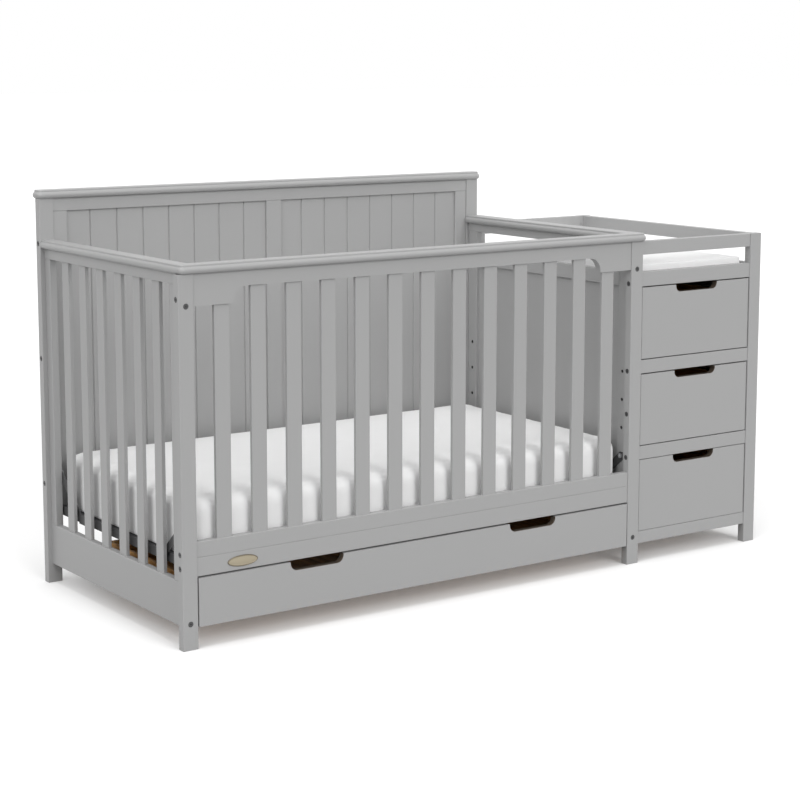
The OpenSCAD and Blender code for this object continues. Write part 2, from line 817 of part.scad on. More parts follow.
module left_end_stiles() {
  color(paint) placed() difference() {
    union() {
      bar_z([end_inset, post_t, end_low_top], [left_in, left_front_edge, end_top_z]);
      bar_z([end_inset, left_back_edge, end_low_top], [left_in, head_y, end_top_z]);
    }
    end_panel_holes(end_bolt_in, left_bolt_low);
    end_panel_nuts(end_bolt_in, left_bolt_low, 1, true);
    height_holes(left_in, front_hole_y, -1);
    height_holes(left_in, back_hole_y, -1);
  }
}

// Headboard ---------------------------------------------------------------------------

// The headboard's rails and stiles are flush with the backs of their posts
head_face_y = head_y + rail_in;
head_mid_x = crib_len / 2;
left_panel_x = [inner_left + head_stile_w, head_mid_x - head_mid_w / 2];
right_panel_x = [head_mid_x + head_mid_w / 2, inner_right - head_stile_w];

module headboard_top_rail() {
  color(paint) placed()
    bar_x([inner_left, head_face_y, head_top_z], [inner_right, crib_depth, head_h]);
}

module headboard_bottom_rail() {
  color(paint) placed()
    bar_x([inner_left, head_face_y, head_low_z], [inner_right, crib_depth, head_low_top]);
}

module headboard_stiles() {
  color(paint) placed() difference() {
    for (x = [[inner_left, left_panel_x[0]], [left_panel_x[1], right_panel_x[0]],
        [right_panel_x[1], inner_right]])
      bar_z([x[0], head_face_y, head_low_top], [x[1], crib_depth, head_top_z]);
    post_holes(0, head_bolt_y, head_bolt_z, "right");
    post_holes(crib_len, head_bolt_y, head_bolt_z, "left");
    post_nuts(0, head_bolt_y, head_bolt_z, "right", true);
    post_nuts(crib_len, head_bolt_y, head_bolt_z, "left", true);
  }
}

// A panel shown as upright boards, with a V groove between each two
module boarded_panel(x) {
  middle = (x[0] + x[1]) / 2;
  front = head_face_y + board_in;
  difference() {
    board([x[0], front, head_low_top], [x[1], front + board_t, head_top_z]);
    for (i = [1 : boards_n - 1]) {
      groove_x = middle + (i - boards_n / 2) * groove_pitch;
      translate([groove_x, front, head_low_top - over])
        linear_extrude(head_top_z - head_low_top + 2 * over)
          polygon([[-groove_w / 2 - groove_w / groove_d, -over],
            [groove_w / 2 + groove_w / groove_d, -over], [0, groove_d]]);
    }
  }
}

module headboard_left_panel() {
  color(paint) placed() boarded_panel(left_panel_x);
}

module headboard_right_panel() {
  color(paint) placed() boarded_panel(right_panel_x);
}

// Shared end --------------------------------------------------------------------------

shared_front_edge = post_t + shared_stile_w;
shared_back_edge = head_y - shared_stile_w;
shared_top_z = side_h - shared_top_h;

module shared_end_top_rail() {
  color(paint) placed()
    bar_y([shared_x, post_t, shared_top_z], [shared_out, head_y, side_h]);
}

module shared_end_middle_rail() {
  color(paint) placed()
    bar_y([shared_x, shared_front_edge, shared_mid_z],
      [shared_out, shared_back_edge, pad_rail_top]);
}

module shared_end_stiles() {
  color(paint) placed() difference() {
    union() {
      bar_z([shared_x, post_t, end_low_top], [shared_out, shared_front_edge, shared_top_z]);
      bar_z([shared_x, shared_back_edge, end_low_top], [shared_out, head_y, shared_top_z]);
    }
    end_panel_holes(crib_len - end_bolt_in, shared_bolt_low);
    end_panel_nuts(crib_len - end_bolt_in, shared_bolt_low, -1, true);
    height_holes(shared_x, front_hole_y, 1);
    height_holes(shared_x, back_hole_y, 1);
  }
}

module shared_end_panel() {
  color(paint) placed()
    board([shared_out - shared_panel_t, shared_front_edge, end_low_top],
      [shared_out, shared_back_edge, shared_mid_z]);
}

module shared_end_bottom_rail() {
  color(paint) placed() difference() {
    bar_y([shared_x, post_t, end_low_z], [shared_out, head_y, end_low_top], 2 * ease);
    end_panel_holes(crib_len - end_bolt_in, shared_bolt_low);
    end_panel_nuts(crib_len - end_bolt_in, shared_bolt_low, -1, true);
  }
}

// Mattress support --------------------------------------------------------------------

support_left = left_in + support_in;
support_right = shared_x - support_in;
support_front = post_t + support_side;
support_back = head_y - support_side;
frame_top = support_z - steel_t;

// A welded frame of angle bars with flat straps on top
module mattress_support() {
  cross_step = (support_right - support_left) / (straps_n + 1);
  long_step = (support_back - support_front) / (long_straps_n + 1);
  color(black) placed() {
    difference() {
      board([support_left, support_front, support_z - angle_h],
        [support_right, support_back, support_z]);
      board([support_left + angle_w, support_front + angle_w, support_z - angle_h - over],
        [support_right - angle_w, support_back - angle_w, support_z + over]);
      board([support_left + steel_t, support_front + steel_t, support_z - angle_h - over],
        [support_right - steel_t, support_back - steel_t, frame_top]);
    }
    for (i = [1 : straps_n])
      translate([support_left + i * cross_step - strap_w / 2, support_front + steel_t,
          frame_top])
        cube([strap_w, support_back - support_front - 2 * steel_t, steel_t]);
    for (i = [1 : long_straps_n])
      translate([support_left + steel_t, support_front + i * long_step - strap_w / 2,
          frame_top])
        cube([support_right - support_left - 2 * steel_t, strap_w, steel_t]);
  }
}

// A hanger is a strap that slopes down along the stile, with a foot turned in under the
// frame. It is drawn for the front left corner.
module hanger() {
  low = support_z - angle_h - steel_t;
  plate_x = left_in + hang_gap;
  start = post_t + hanger_in;
  foot = hanger_reach - hanger_foot;
  translate([plate_x, start, 0]) difference() {
    rotate([90, 0, 90]) linear_extrude(steel_t)
      polygon([[0, hanger_top - hanger_edge], [foot, low + angle_h / 2], [foot, low],
        [hanger_reach, low], [hanger_reach, support_z],
        [hanger_reach - hanger_edge, support_z], [hanger_w, hanger_top], [0, hanger_top]]);
    translate([-over, front_hole_y - start, height_hole_z]) rotate([0, 90, 0])
      cylinder(d = bolt_d + 2 * bolt_play, h = steel_t + 2 * over);
  }
  board([plate_x + steel_t, start + foot, low],
    [plate_x + steel_t + angle_w, start + hanger_reach, low + steel_t]);
}

// Puts its children at all four corners of the support
module at_corners() {
  middle_of_support = (left_in + shared_x) / 2;
  depth_middle = (post_t + head_y) / 2;
  for (mx = [0, 1], my = [0, 1])
    translate([middle_of_support, depth_middle, 0]) mirror([mx, 0, 0]) mirror([0, my, 0])
      translate([-middle_of_support, -depth_middle, 0]) children();
}

module support_hangers() {
  color(black) placed() at_corners() hanger();
}

// Low-headed bolts through the hangers; their shanks go as far as the stile's face
module support_bolts() {
  color(steel) placed() at_corners()
    translate([left_in + hang_gap, front_hole_y, height_hole_z]) rotate([0, 90, 0])
      difference() {
        union() {
          translate([0, 0, steel_t]) cylinder(d = bolt_head_d, h = low_head_h);
          cylinder(d = bolt_d, h = steel_t + low_head_h / 2);
        }
        translate([0, 0, steel_t + low_head_h + over]) mirror([0, 0, 1])
          cylinder(d = bolt_d * 0.7, h = over + low_head_h * 0.6, $fn = 6);
      }
}

// Mattress and pad --------------------------------------------------------------------

// A filled cover with a crowned top: rounded corners in plan, rounded upper and lower
// edges, a slightly full wall at the corners and sides drawn in between them
arc_steps = 5;
side_steps = 4;
edge_rings = 4;
crown_rings = 4;

// Outline of a rounded rectangle of half sizes a and b, counter-clockwise, with the
// straight sides drawn in by pull at their middles
function outline(a, b, r, pull) = [for (q = [0 : 3]) each
  let (sx = q == 0 || q == 3 ? 1 : -1, sy = q < 2 ? 1 : -1,
    cx = sx * (a - r), cy = sy * (b - r))
  concat(
    [for (k = [0 : arc_steps]) let (t = 90 * (q + k / arc_steps))
      [cx + r * cos(t), cy + r * sin(t)]],
    [for (k = [1 : side_steps]) let (s = k / (side_steps + 1), d = pull * 4 * s * (1 - s),
        reach = q % 2 == 0 ? a - r : b - r)
      q == 0 ? [reach * (1 - 2 * s), b - d]
        : q == 1 ? [-a + d, reach * (1 - 2 * s)]
        : q == 2 ? [-reach * (1 - 2 * s), -b + d] : [a - d, -reach * (1 - 2 * s)]])];

module cushion(len, w, h, crown, corner_r, edge_r, pull) {
  a = len / 2;
  b = w / 2;
  full = min(a, b);
  // Each ring is [inset, height]
  rings = concat(
    [for (k = [0 : edge_rings]) let (t = 90 * k / edge_rings)
      [edge_r * (1 - sin(t)), edge_r * (1 - cos(t))]],
    [for (k = [1 : edge_rings]) let (t = 90 * k / edge_rings)
      [edge_r * (1 - cos(t)), h - edge_r * (1 - sin(t))]],
    [for (k = [1 : crown_rings]) let (s = k / (crown_rings + 1))
      [edge_r + (full - edge_r) * s, h + crown * sin(90 * s)]]);
  ring_n = 4 * (arc_steps + 1 + side_steps);
  points = concat(
    [for (ring = rings) let (r = max(corner_r - ring[0], corner_r * 0.35),
        fade = 1 - min(ring[0] / full, 1))
      each [for (p = outline(a - ring[0], b - ring[0], r, pull * fade))
        [p[0], p[1], ring[1]]]],
    [[0, 0, 0], [0, 0, h + crown]]);
  last = len(rings) - 1;
  bottom = (last + 1) * ring_n;
  faces = concat(
    [for (j = [0 : last - 1], i = [0 : ring_n - 1]) let (n = (i + 1) % ring_n)
      [j * ring_n + i, (j + 1) * ring_n + i, (j + 1) * ring_n + n]],
    [for (j = [0 : last - 1], i = [0 : ring_n - 1]) let (n = (i + 1) % ring_n)
      [j * ring_n + i, (j + 1) * ring_n + n, j * ring_n + n]],
    [for (i = [0 : ring_n - 1]) let (n = (i + 1) % ring_n) [bottom, i, n]],
    [for (i = [0 : ring_n - 1]) let (n = (i + 1) % ring_n)
      [bottom + 1, last * ring_n + n, last * ring_n + i]]);
  polyhedron(points, faces);
}

// Gap under both, so that they rest on what carries them without cutting into it
soft_gap = 0.4;

module mattress() {
  x = [left_in + mattress_end_gap, shared_x - mattress_end_gap];
  y = [post_t + mattress_side_gap, head_y - mattress_side_gap];
  color(white_cover) placed()
    translate([(x[0] + x[1]) / 2, (y[0] + y[1]) / 2, support_z + soft_gap])
      cushion(x[1] - x[0], y[1] - y[0], mattress_h, mattress_crown, mattress_corner_r,
        mattress_edge_r, mattress_pull);
}

module changing_pad() {
  x = [cap_right + pad_left_gap, side_x - pad_right_gap];
  y = [post_t + pad_end_gap, head_y - pad_end_gap];
  color(white_cover) placed()
    translate([(x[0] + x[1]) / 2, (y[0] + y[1]) / 2, top_board_z + top_board_t + soft_gap])
      cushion(x[1] - x[0], y[1] - y[0], pad_h, pad_crown, pad_corner_r, pad_edge_r, pad_pull);
}

// Changer frame -----------------------------------------------------------------------

module changer_front_post() {
  color(paint) placed()
    bar_z([changer_right, 0, 0], [total_len, post_t, side_h]);
}

module changer_back_post() {
  color(paint) placed()
    bar_z([changer_right, head_y, 0], [total_len, crib_depth, side_h]);
}

module changer_inner_post() {
  color(paint) placed()
    bar_z([changer_left, head_y, changer_low_z],
      [changer_left + inner_post_w, crib_depth, side_h]);
}

module changer_side_panel() {
  color(paint) placed()
    bar_y([side_x, post_t, changer_low_z], [side_x + side_panel_t, head_y, pad_rail_top]);
}

// A thin board let in between the back posts, flush with their front faces
module changer_back_panel() {
  color(paint) placed()
    board([changer_left + inner_post_w, head_y, changer_low_z],
      [changer_right, head_y + back_panel_t, pad_rail_top]);
}

module changer_front_guard() {
  color(paint) placed()
    bar_x([changer_left, rail_in, guard_z], [changer_right, post_t, side_h]);
}

module changer_side_guard() {
  color(paint) placed()
    bar_y([side_x, post_t, guard_z], [side_x + side_panel_t, head_y, side_h]);
}

module changer_back_guard() {
  color(paint) placed()
    bar_x([changer_left + inner_post_w, head_y, guard_z],
      [changer_right, crib_depth - rail_in, side_h]);
}

// A cross rail of the changer's front, with the hole and nut of the bolt at bolt_z
module cross_rail(low, high, bolt_z) {
  difference() {
    bar_x([changer_left, rail_in, low], [changer_right, post_t, high]);
    post_holes(inner_right, rail_bolt_y, [bolt_z], "right");
    post_nuts(inner_right, rail_bolt_y, [bolt_z], "right", true);
  }
}

module changer_pad_rail() {
  color(paint) placed() cross_rail(pad_rail_z, pad_rail_top, changer_bolt_z[0]);
}

module changer_dividers() {
  color(paint) placed() for (i = [1, 2]) {
    top = pad_rail_z - opening_h - (i - 1) * drawer_pitch;
    cross_rail(top - divider_h, top, changer_bolt_z[i]);
  }
}

module changer_bottom_rail() {
  color(paint) placed()
    bar_x([changer_left, rail_in, changer_low_z], [changer_right, post_t, low_opening_z]);
}

module changer_top_board() {
  color(paint) placed()
    board([shared_out, post_t, top_board_z], [side_x, head_y, top_board_z + top_board_t]);
}

// Runners -----------------------------------------------------------------------------

// Fixed channel in section: a web against the wall, two flanges and two lips
module channel_section() {
  channel_w = runner_w - lip_gap;
  difference() {
    translate([0, -runner_h / 2]) square([channel_w, runner_h]);
    translate([sheet_t, -runner_h / 2 + sheet_t])
      square([channel_w - 2 * sheet_t, runner_h - 2 * sheet_t]);
    translate([sheet_t, -runner_h / 2 + sheet_t + lip_h])
      square([channel_w, runner_h - 2 * sheet_t - 2 * lip_h]);
  }
}

// Sliding member in section: its web is on the drawer and its flanges run between the lips
module member_section() {
  high = runner_h - 2 * sheet_t - 2 * lip_h - 2 * slide_play;
  inner = sheet_t + member_gap;
  translate([0, -high / 2]) difference() {
    translate([inner, 0]) square([runner_w - inner, high]);
    translate([inner - over, sheet_t])
      square([runner_w - inner - sheet_t + over, high - 2 * sheet_t]);
  }
}

// Runs a section along +Y from the plane y; way is +1 from a wall on the left
module runner(x, y, z, length, way) {
  translate([x, y + length, z]) mirror([way > 0 ? 0 : 1, 0, 0]) rotate([90, 0, 0])
    linear_extrude(length) children();
}

// Changer drawers ---------------------------------------------------------------------

// The runners are packed out from both walls, so that the drawers clear the front posts
box_left = changer_left + runner_w;
box_right = changer_right - runner_w;
runner_y = post_t + runner_in;
runner_up = box_up + box_h / 2;
function opening_z(i) = top_opening_z - i * drawer_pitch;

// A finger cut-out below the origin, in a front's own plane
module grip(depth, r) {
  translate([-grip_w / 2, -depth]) eased_rect(grip_w, depth + 2 * r, r);
}

// The front of a changer drawer, with the gap that it leaves above and below it
module drawer_front(i, gap) {
  x = [changer_left + side_gap, changer_right - side_gap];
  translate([0, rail_in + front_t, opening_z(i)]) rotate([90, 0, 0]) linear_extrude(front_t)
    difference() {
      translate([x[0], gap]) square([x[1] - x[0], opening_h - 2 * gap]);
      translate([(x[0] + x[1]) / 2, opening_h]) grip(grip_d, grip_r);
    }
}

// Two sides, a back and a bottom, glued into one box; the front is screwed to the sides
module drawer_box(x, front, depth, z, high) {
  back = front + depth;
  bar_y([x[0], front, z], [x[0] + box_t, back, z + high]);
  bar_y([x[1] - box_t, front, z], [x[1], back, z + high]);
  bar_x([x[0] + box_t, back - box_t, z], [x[1] - box_t, back, z + high]);
  board([x[0] + box_t, front, z + bottom_up],
    [x[1] - box_t, back - box_t, z + bottom_up + bottom_t]);
}

module changer_box(i) {
  drawer_box([box_left, box_right], rail_in + front_t, box_depth, opening_z(i) + box_up, box_h);
}

module changer_slides(i) {
  z = opening_z(i) + runner_up;
  runner(changer_left, runner_y, z, runner_len, 1) member_section();
  runner(changer_right, runner_y, z, runner_len, -1) member_section();
}

module changer_runners() {
  color(steel) placed() for (i = [0 : 2]) {
    z = opening_z(i) + runner_up;
    runner(changer_left, runner_y, z, runner_len, 1) channel_section();
    runner(changer_right, runner_y, z, runner_len, -1) channel_section();
  }
}

module top_drawer_front() { color(paint) placed() drawer_front(0, drawer_gap); }
module top_drawer_box() { color(amber) placed() changer_box(0); }
module top_drawer_slides() { color(steel) placed() changer_slides(0); }
module middle_drawer_front() { color(paint) placed() drawer_front(1, drawer_gap); }
module middle_drawer_box() { color(amber) placed() changer_box(1); }
module middle_drawer_slides() { color(steel) placed() changer_slides(1); }
module lower_drawer_front() { color(paint) placed() drawer_front(2, lower_drawer_gap); }
module lower_drawer_box() { color(amber) placed() changer_box(2); }
module lower_drawer_slides() { color(steel) placed() changer_slides(2); }

// Drawer under the crib ---------------------------------------------------------------

under_top = apron_z - under_gap;
under_box_z = under_z + under_box_up;
under_x = [left_in + cleat_t + runner_w, shared_x - cleat_t - runner_w];
under_runner_z = under_box_z + under_box_h / 2;

module under_drawer_front() {
  x = [inner_left + side_gap, inner_right - side_gap];
  high = under_top - under_z;
  color(paint) placed() translate([0, front_t, under_z]) rotate([90, 0, 0])
    linear_extrude(front_t) difference() {
      translate([x[0], 0]) square([x[1] - x[0], high]);
      for (side = [-1, 1])
        translate([(x[0] + x[1]) / 2 + side * under_grip_x, high])
          grip(under_grip_d, under_grip_r);
    }
}

module under_drawer_box() {
  color(amber) placed() drawer_box(under_x, front_t, under_depth, under_box_z, under_box_h);
}

module under_drawer_slides() {
  color(steel) placed() {
    runner(left_in + cleat_t, runner_y, under_runner_z, under_runner_len, 1)
      member_section();
    runner(shared_x - cleat_t, runner_y, under_runner_z, under_runner_len, -1)
      member_section();
  }
}

// Wooden cleats between the walls and the runners of all four drawers
module runner_cleats() {
  under_low = under_runner_z - cleat_h / 2;
  under_end = post_t + under_runner_len;
  changer_end = post_t + runner_len;
  color(amber) placed() {
    bar_y([left_in, post_t, under_low], [left_in + cleat_t, under_end, under_low + cleat_h]);
    bar_y([shared_x - cleat_t, post_t, under_low],
      [shared_x, under_end, under_low + cleat_h]);
    for (i = [0 : 2]) {
      low = opening_z(i) + runner_up - cleat_h / 2;
      bar_y([shared_out, post_t, low], [changer_left, changer_end, low + cleat_h]);
      bar_y([changer_right, post_t, low], [side_x, changer_end, low + cleat_h]);
    }
  }
}

module under_runners() {
  color(steel) placed() {
    runner(left_in + cleat_t, runner_y, under_runner_z, under_runner_len, 1)
      channel_section();
    runner(shared_x - cleat_t, runner_y, under_runner_z, under_runner_len, -1)
      channel_section();
  }
}

left_front_post();
shared_front_post();
left_head_post();
right_head_post();
front_cap();
left_end_cap();
shared_end_cap();
headboard_cap();
front_top_rail();
front_slats();
front_lower_rail();
front_apron();
left_end_top_rail();
left_end_slats();
left_end_bottom_rail();
left_end_stiles();
headboard_top_rail();
headboard_bottom_rail();
headboard_stiles();
headboard_left_panel();
headboard_right_panel();
shared_end_top_rail();
shared_end_middle_rail();
shared_end_stiles();
shared_end_panel();
shared_end_bottom_rail();
mattress_support();
support_hangers();
support_bolts();
mattress();
changer_front_post();
changer_back_post();
changer_inner_post();
changer_side_panel();
changer_back_panel();
changer_front_guard();
changer_side_guard();
changer_back_guard();
changer_pad_rail();
changer_dividers();
changer_bottom_rail();
changer_top_board();
changing_pad();
changer_runners();
frame_bolts();
barrel_nuts();
under_drawer_front();
under_drawer_box();
under_drawer_slides();
runner_cleats();
under_runners();
top_drawer_front();
top_drawer_box();
top_drawer_slides();
middle_drawer_front();
middle_drawer_box();
middle_drawer_slides();
lower_drawer_front();
lower_drawer_box();
lower_drawer_slides();
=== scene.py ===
"""Looks of the crib with its attached changer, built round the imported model, in metres."""

import json
import math

import bmesh
import bpy
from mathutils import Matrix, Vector, noise


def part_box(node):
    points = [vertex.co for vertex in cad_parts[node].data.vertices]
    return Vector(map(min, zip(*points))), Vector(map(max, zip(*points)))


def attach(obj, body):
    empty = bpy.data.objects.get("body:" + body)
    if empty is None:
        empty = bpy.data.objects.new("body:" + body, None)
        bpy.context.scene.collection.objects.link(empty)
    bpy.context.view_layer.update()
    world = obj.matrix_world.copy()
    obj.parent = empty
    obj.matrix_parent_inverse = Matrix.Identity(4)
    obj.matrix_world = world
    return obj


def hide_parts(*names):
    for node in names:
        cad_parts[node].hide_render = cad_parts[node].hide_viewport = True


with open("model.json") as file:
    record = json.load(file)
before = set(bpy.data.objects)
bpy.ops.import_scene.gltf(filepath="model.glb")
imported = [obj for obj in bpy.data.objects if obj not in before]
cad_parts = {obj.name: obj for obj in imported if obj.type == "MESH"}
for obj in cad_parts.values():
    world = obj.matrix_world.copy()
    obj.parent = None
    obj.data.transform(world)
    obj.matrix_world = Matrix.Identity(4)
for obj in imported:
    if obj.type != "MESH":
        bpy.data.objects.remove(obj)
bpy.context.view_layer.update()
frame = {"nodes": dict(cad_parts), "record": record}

# Colours, linear
PAINT_GREY = (0.352, 0.352, 0.352)
AMBER_LIGHT = (0.74, 0.42, 0.16)
AMBER_DARK = (0.46, 0.24, 0.085)
COAT_BLACK = (0.065, 0.065, 0.066)
ZINC = (0.62, 0.63, 0.64)
COVER_WHITE = (0.86, 0.86, 0.86)
COVER_SHADE = (0.80, 0.80, 0.80)
PAD_WHITE = (0.87, 0.87, 0.87)
CHAMPAGNE = (0.38, 0.33, 0.235)
BRONZE = (0.20, 0.175, 0.13)
# Painted shade on the walls of the finger cut-outs, dark brown
CUT_PAINTED_SHADE = (0.085, 0.066, 0.050)

# Scale of the wood grain's noise along the boards and across them
GRAIN_ALONG = 2.4
GRAIN_ACROSS = 70.0

# Sizes below are in metres.
# Half the width of a finger cut-out, and a depth that takes in all of its walls, which get a
# painted shade
CUT_HALF = 0.0765
CUT_DEEP = 0.0235

# How the covers are filled, how finely their edges are cut, and how broad their waves are
FILL_PRESSURE = 4.0
FILL_FRAMES = 20
EDGE_STEPS = 6
CORNER_STEPS = 10
WAVE_SCALE = 7.0

# The oval plate's middle on the apron, and its size
BADGE_X = -0.7595
BADGE_Z = 0.1945
BADGE_LONG = 0.082
BADGE_HIGH = 0.027
BADGE_STEPS = 72

# The height inserts: how far each is in from its stile's outer edge, the lowest one's
# height, the step between them, and the depth of their holes
INSERT_IN = 0.0195
INSERT_LOW = 0.2955
INSERT_STEP = 0.0775
INSERTS = 4
INSERT_DEPTH = 0.0118
INSERT_SIDES = 24

FLOOR_REACH = 60.0
FLOOR_DROP = 0.0005

CAMERA_PLACE = (-3.0236, -4.2577, 1.3757)
CAMERA_TILT = 81.794
CAMERA_TURN = -35.0
CAMERA_LENS = 87.60
CAMERA_SHIFT = -0.08


# Node trees -------------------------------------------------------------------------


def node(tree, kind, links=None, **settings):
    """A node of that kind, with its settings and its sockets' values or links."""
    made = tree.nodes.new("ShaderNode" + kind)
    for name, value in settings.items():
        setattr(made, name, value)
    for socket, value in (links or {}).items():
        if isinstance(value, bpy.types.NodeSocket):
            tree.links.new(value, made.inputs[socket])
        else:
            made.inputs[socket].default_value = value
    return made


def maths(tree, operation, *values):
    """The value of a Math node."""
    return node(tree, "Math", dict(enumerate(values)), operation=operation).outputs[0]


def blend(tree, factor, first, second):
    """A colour between two colours."""
    mix = node(tree, "Mix", data_type="RGBA")
    for index, value in ((0, factor), (6, first), (7, second)):
        if isinstance(value, bpy.types.NodeSocket):
            tree.links.new(value, mix.inputs[index])
        else:
            mix.inputs[index].default_value = value if index == 0 else (*value[:3], 1)
    return mix.outputs[2]


def new_group(name, inputs, outputs):
    """A node group with those sockets, its input node and its output node."""
    tree = bpy.data.node_groups.new(name, "ShaderNodeTree")
    for label, kind, value in inputs:
        socket = tree.interface.new_socket(
            name=label, in_out="INPUT", socket_type="NodeSocket" + kind)
        socket.default_value = value
    for label, kind in outputs:
        tree.interface.new_socket(
            name=label, in_out="OUTPUT", socket_type="NodeSocket" + kind)
    given = tree.nodes.new("NodeGroupInput").outputs
    result = tree.nodes.new("NodeGroupOutput").inputs
    return tree, given, result


def place(tree, group, **values):
    """A group's node in a material, with that material's own values."""
    made = tree.nodes.new("ShaderNodeGroup")
    made.node_tree = group
    for label, value in values.items():
        made.inputs[label.replace("_", " ")].default_value = value
    return made.outputs


def object_place(tree):
    """The place on the object, which rides with it."""
    return node(tree, "TexCoord").outputs["Object"]


def mottle_group():
    """Broad, faint patches of tone and the fine orange peel of a sprayed coat."""
    tree, given, result = new_group(
        "Sprayed coat",
        [("Colour", "Color", (1, 1, 1, 1)), ("Patches", "Float", 0.03),
         ("Patch scale", "Float", 4.0), ("Peel scale", "Float", 500.0),
         ("Roughness", "Float", 0.4), ("Roughness range", "Float", 0.05)],
        [("Colour", "Color"), ("Roughness", "Float"), ("Height", "Float")])
    where = object_place(tree)
    patches = node(tree, "TexNoise", {
        "Vector": where, "Scale": given["Patch scale"], "Detail": 3.0}).outputs["Fac"]
    peel = node(tree, "TexNoise", {
        "Vector": where, "Scale": given["Peel scale"], "Detail": 2.0}).outputs["Fac"]
    offset = maths(tree, "SUBTRACT", patches, 0.5)
    tone = maths(tree, "MULTIPLY_ADD", offset, given["Patches"], 1.0)
    toned = node(tree, "VectorMath", {0: given["Colour"], 3: tone}, operation="SCALE")
    tree.links.new(toned.outputs[0], result["Colour"])
    rough = maths(tree, "MULTIPLY_ADD", offset, given["Roughness range"],
                  given["Roughness"])
    tree.links.new(rough, result["Roughness"])
    tree.links.new(peel, result["Height"])
    return tree


def weave_group():
    """A plain weave on every side of a padded piece, with faint unevenness."""
    tree, given, result = new_group(
        "Plain weave",
        [("Colour", "Color", (1, 1, 1, 1)), ("Shade", "Color", (0.9, 0.9, 0.9, 1)),
         ("Thread", "Float", 0.0016), ("Softness", "Float", 0.35)],
        [("Colour", "Color"), ("Height", "Float")])
    where = object_place(tree)
    axes = node(tree, "SeparateXYZ", {0: where}).outputs
    facing = node(tree, "SeparateXYZ", {
        0: node(tree, "NewGeometry").outputs["Normal"]}).outputs
    turns = maths(tree, "DIVIDE", 2 * math.pi, given["Thread"])
    waves = [maths(tree, "SINE", maths(tree, "MULTIPLY", axis, turns)) for axis in axes]
    weave = None
    for first, second, side in ((0, 1, 2), (0, 2, 1), (1, 2, 0)):
        share = maths(tree, "POWER", maths(tree, "ABSOLUTE", facing[side]), 4.0)
        crossing = maths(tree, "MULTIPLY", waves[first], waves[second])
        part = maths(tree, "MULTIPLY", crossing, share)
        weave = part if weave is None else maths(tree, "ADD", weave, part)
    uneven = node(tree, "TexNoise", {
        "Vector": where, "Scale": 18.0, "Detail": 4.0}).outputs["Fac"]
    threads = maths(tree, "MULTIPLY_ADD", weave, given["Softness"], 0.5)
    tone = maths(tree, "MULTIPLY", threads, uneven)
    tree.links.new(blend(tree, tone, given["Colour"], given["Shade"]), result["Colour"])
    tree.links.new(weave, result["Height"])
    return tree


def grain_group():
    """Wood grain that runs along Y on a drawer's sides, and along X on its back."""
    tree, given, result = new_group(
        "Wood grain",
        [("Light", "Color", (1, 1, 1, 1)), ("Dark", "Color", (0.5, 0.5, 0.5, 1)),
         ("Rings", "Float", 1.0)],
        [("Colour", "Color"), ("Roughness", "Float"), ("Height", "Float")])
    where = object_place(tree)
    facing = node(tree, "SeparateXYZ", {
        0: node(tree, "NewGeometry").outputs["Normal"]}).outputs
    back = maths(tree, "GREATER_THAN", maths(tree, "ABSOLUTE", facing[1]), 0.7)
    figures = []
    for stretch in ((GRAIN_ACROSS, GRAIN_ALONG, GRAIN_ACROSS),
                    (GRAIN_ALONG, GRAIN_ACROSS, GRAIN_ACROSS)):
        along = node(tree, "Mapping", {"Vector": where, "Scale": stretch}).outputs[0]
        figures.append(node(tree, "TexNoise", {
            "Vector": along, "Scale": given["Rings"], "Detail": 6.0,
            "Roughness": 0.6, "Distortion": 0.4}).outputs["Fac"])
    chosen = node(tree, "Mix", {0: back, 2: figures[0], 3: figures[1]},
                  data_type="FLOAT").outputs[0]
    bands = node(tree, "ValToRGB", {0: chosen})
    bands.color_ramp.elements[0].position = 0.36
    bands.color_ramp.elements[1].position = 0.64
    tree.links.new(blend(tree, bands.outputs[0], given["Dark"], given["Light"]),
                   result["Colour"])
    tree.links.new(maths(tree, "MULTIPLY_ADD", chosen, -0.2, 0.5), result["Roughness"])
    tree.links.new(chosen, result["Height"])
    return tree


COAT = mottle_group()
WEAVE = weave_group()
GRAIN = grain_group()


def new_material(name):
    """An empty material, its tree and its Principled shader."""
    material = bpy.data.materials.new(name)
    material.use_nodes = True
    tree = material.node_tree
    return material, tree, tree.nodes["Principled BSDF"]


def bump(tree, height, distance, strength, shader):
    """Raises the surface a little by a height map."""
    raised = node(tree, "Bump", {
        "Height": height, "Distance": distance, "Strength": strength})
    tree.links.new(raised.outputs[0], shader.inputs["Normal"])


def coated(name, colour, roughness, patches, peel, depth, metallic=0.0):
    """A painted, powder-coated or plated finish."""
    material, tree, shader = new_material(name)
    coat = place(tree, COAT, Colour=(*colour, 1), Patches=patches, Roughness=roughness,
                 Peel_scale=peel)
    tree.links.new(coat["Colour"], shader.inputs["Base Color"])
    tree.links.new(coat["Roughness"], shader.inputs["Roughness"])
    shader.inputs["Metallic"].default_value = metallic
    bump(tree, coat["Height"], depth, 0.3, shader)
    return material


def cut_wall_group():
    """1 on the walls of the finger cut-outs of a drawer front, where the painted shade goes,
    else 0.
    """
    tree, given, result = new_group(
        "Cut-out walls",
        [("Middle", "Float", 0.0), ("Apart", "Float", 0.0), ("Half width", "Float", 0.08),
         ("Low", "Float", 0.0)],
        [("Mask", "Float")])
    axes = node(tree, "SeparateXYZ", {0: object_place(tree)}).outputs
    facing = node(tree, "SeparateXYZ", {
        0: node(tree, "NewGeometry").outputs["Normal"]}).outputs
    off = maths(tree, "ABSOLUTE", maths(tree, "SUBTRACT", axes[0], given["Middle"]))
    off = maths(tree, "ABSOLUTE", maths(tree, "SUBTRACT", off, given["Apart"]))
    beside = maths(tree, "LESS_THAN", off, given["Half width"])
    above = maths(tree, "GREATER_THAN", axes[2], given["Low"])
    across = maths(tree, "LESS_THAN", maths(tree, "ABSOLUTE", facing[1]), 0.5)
    mask = maths(tree, "MULTIPLY", maths(tree, "MULTIPLY", beside, above), across)
    tree.links.new(mask, result["Mask"])
    return tree


